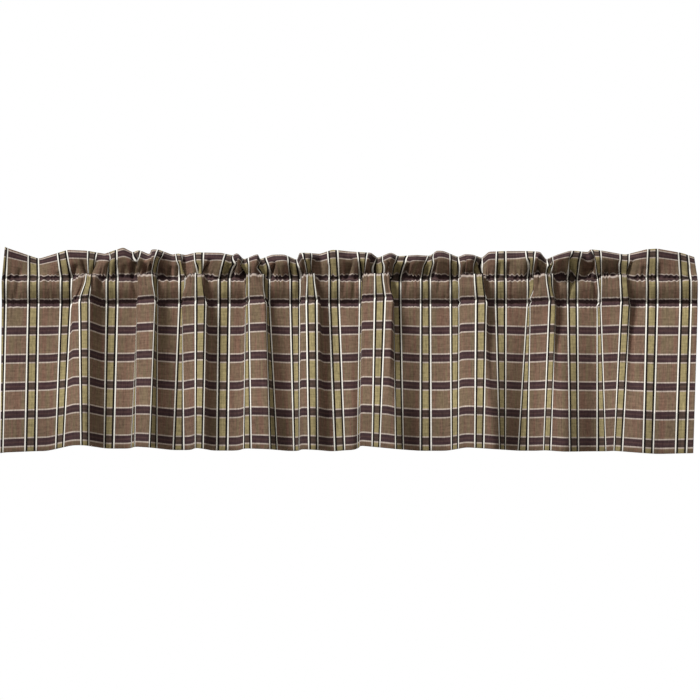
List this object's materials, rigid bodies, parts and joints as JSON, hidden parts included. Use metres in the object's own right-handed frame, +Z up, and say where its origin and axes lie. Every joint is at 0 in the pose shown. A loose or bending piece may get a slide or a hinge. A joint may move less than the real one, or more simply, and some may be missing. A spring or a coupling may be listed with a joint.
{
  "type": "window valance",
  "caption": "Gathered rod-pocket window valance in plaid cotton: a stand-up ruffle over a sewn rod pocket, and a short skirt hanging in soft folds.",
  "frame": {"origin": "middle of the rod pocket, on the line where the rod's centre runs", "axes": "+X along the rod to the right as seen from the room, +Y back towards the window, +Z up"},
  "size_m": [1.323, 0.0784, 0.4042],
  "materials": {
    "plaid_cotton": "matt yarn-dyed plain weave cotton: brown field, olive bars edged in black and cream, plum bars edged in pale yarn"
  },
  "bodies": {
    "root": {"valance_cloth": "plaid_cotton"}
  },
  "joints": []
}
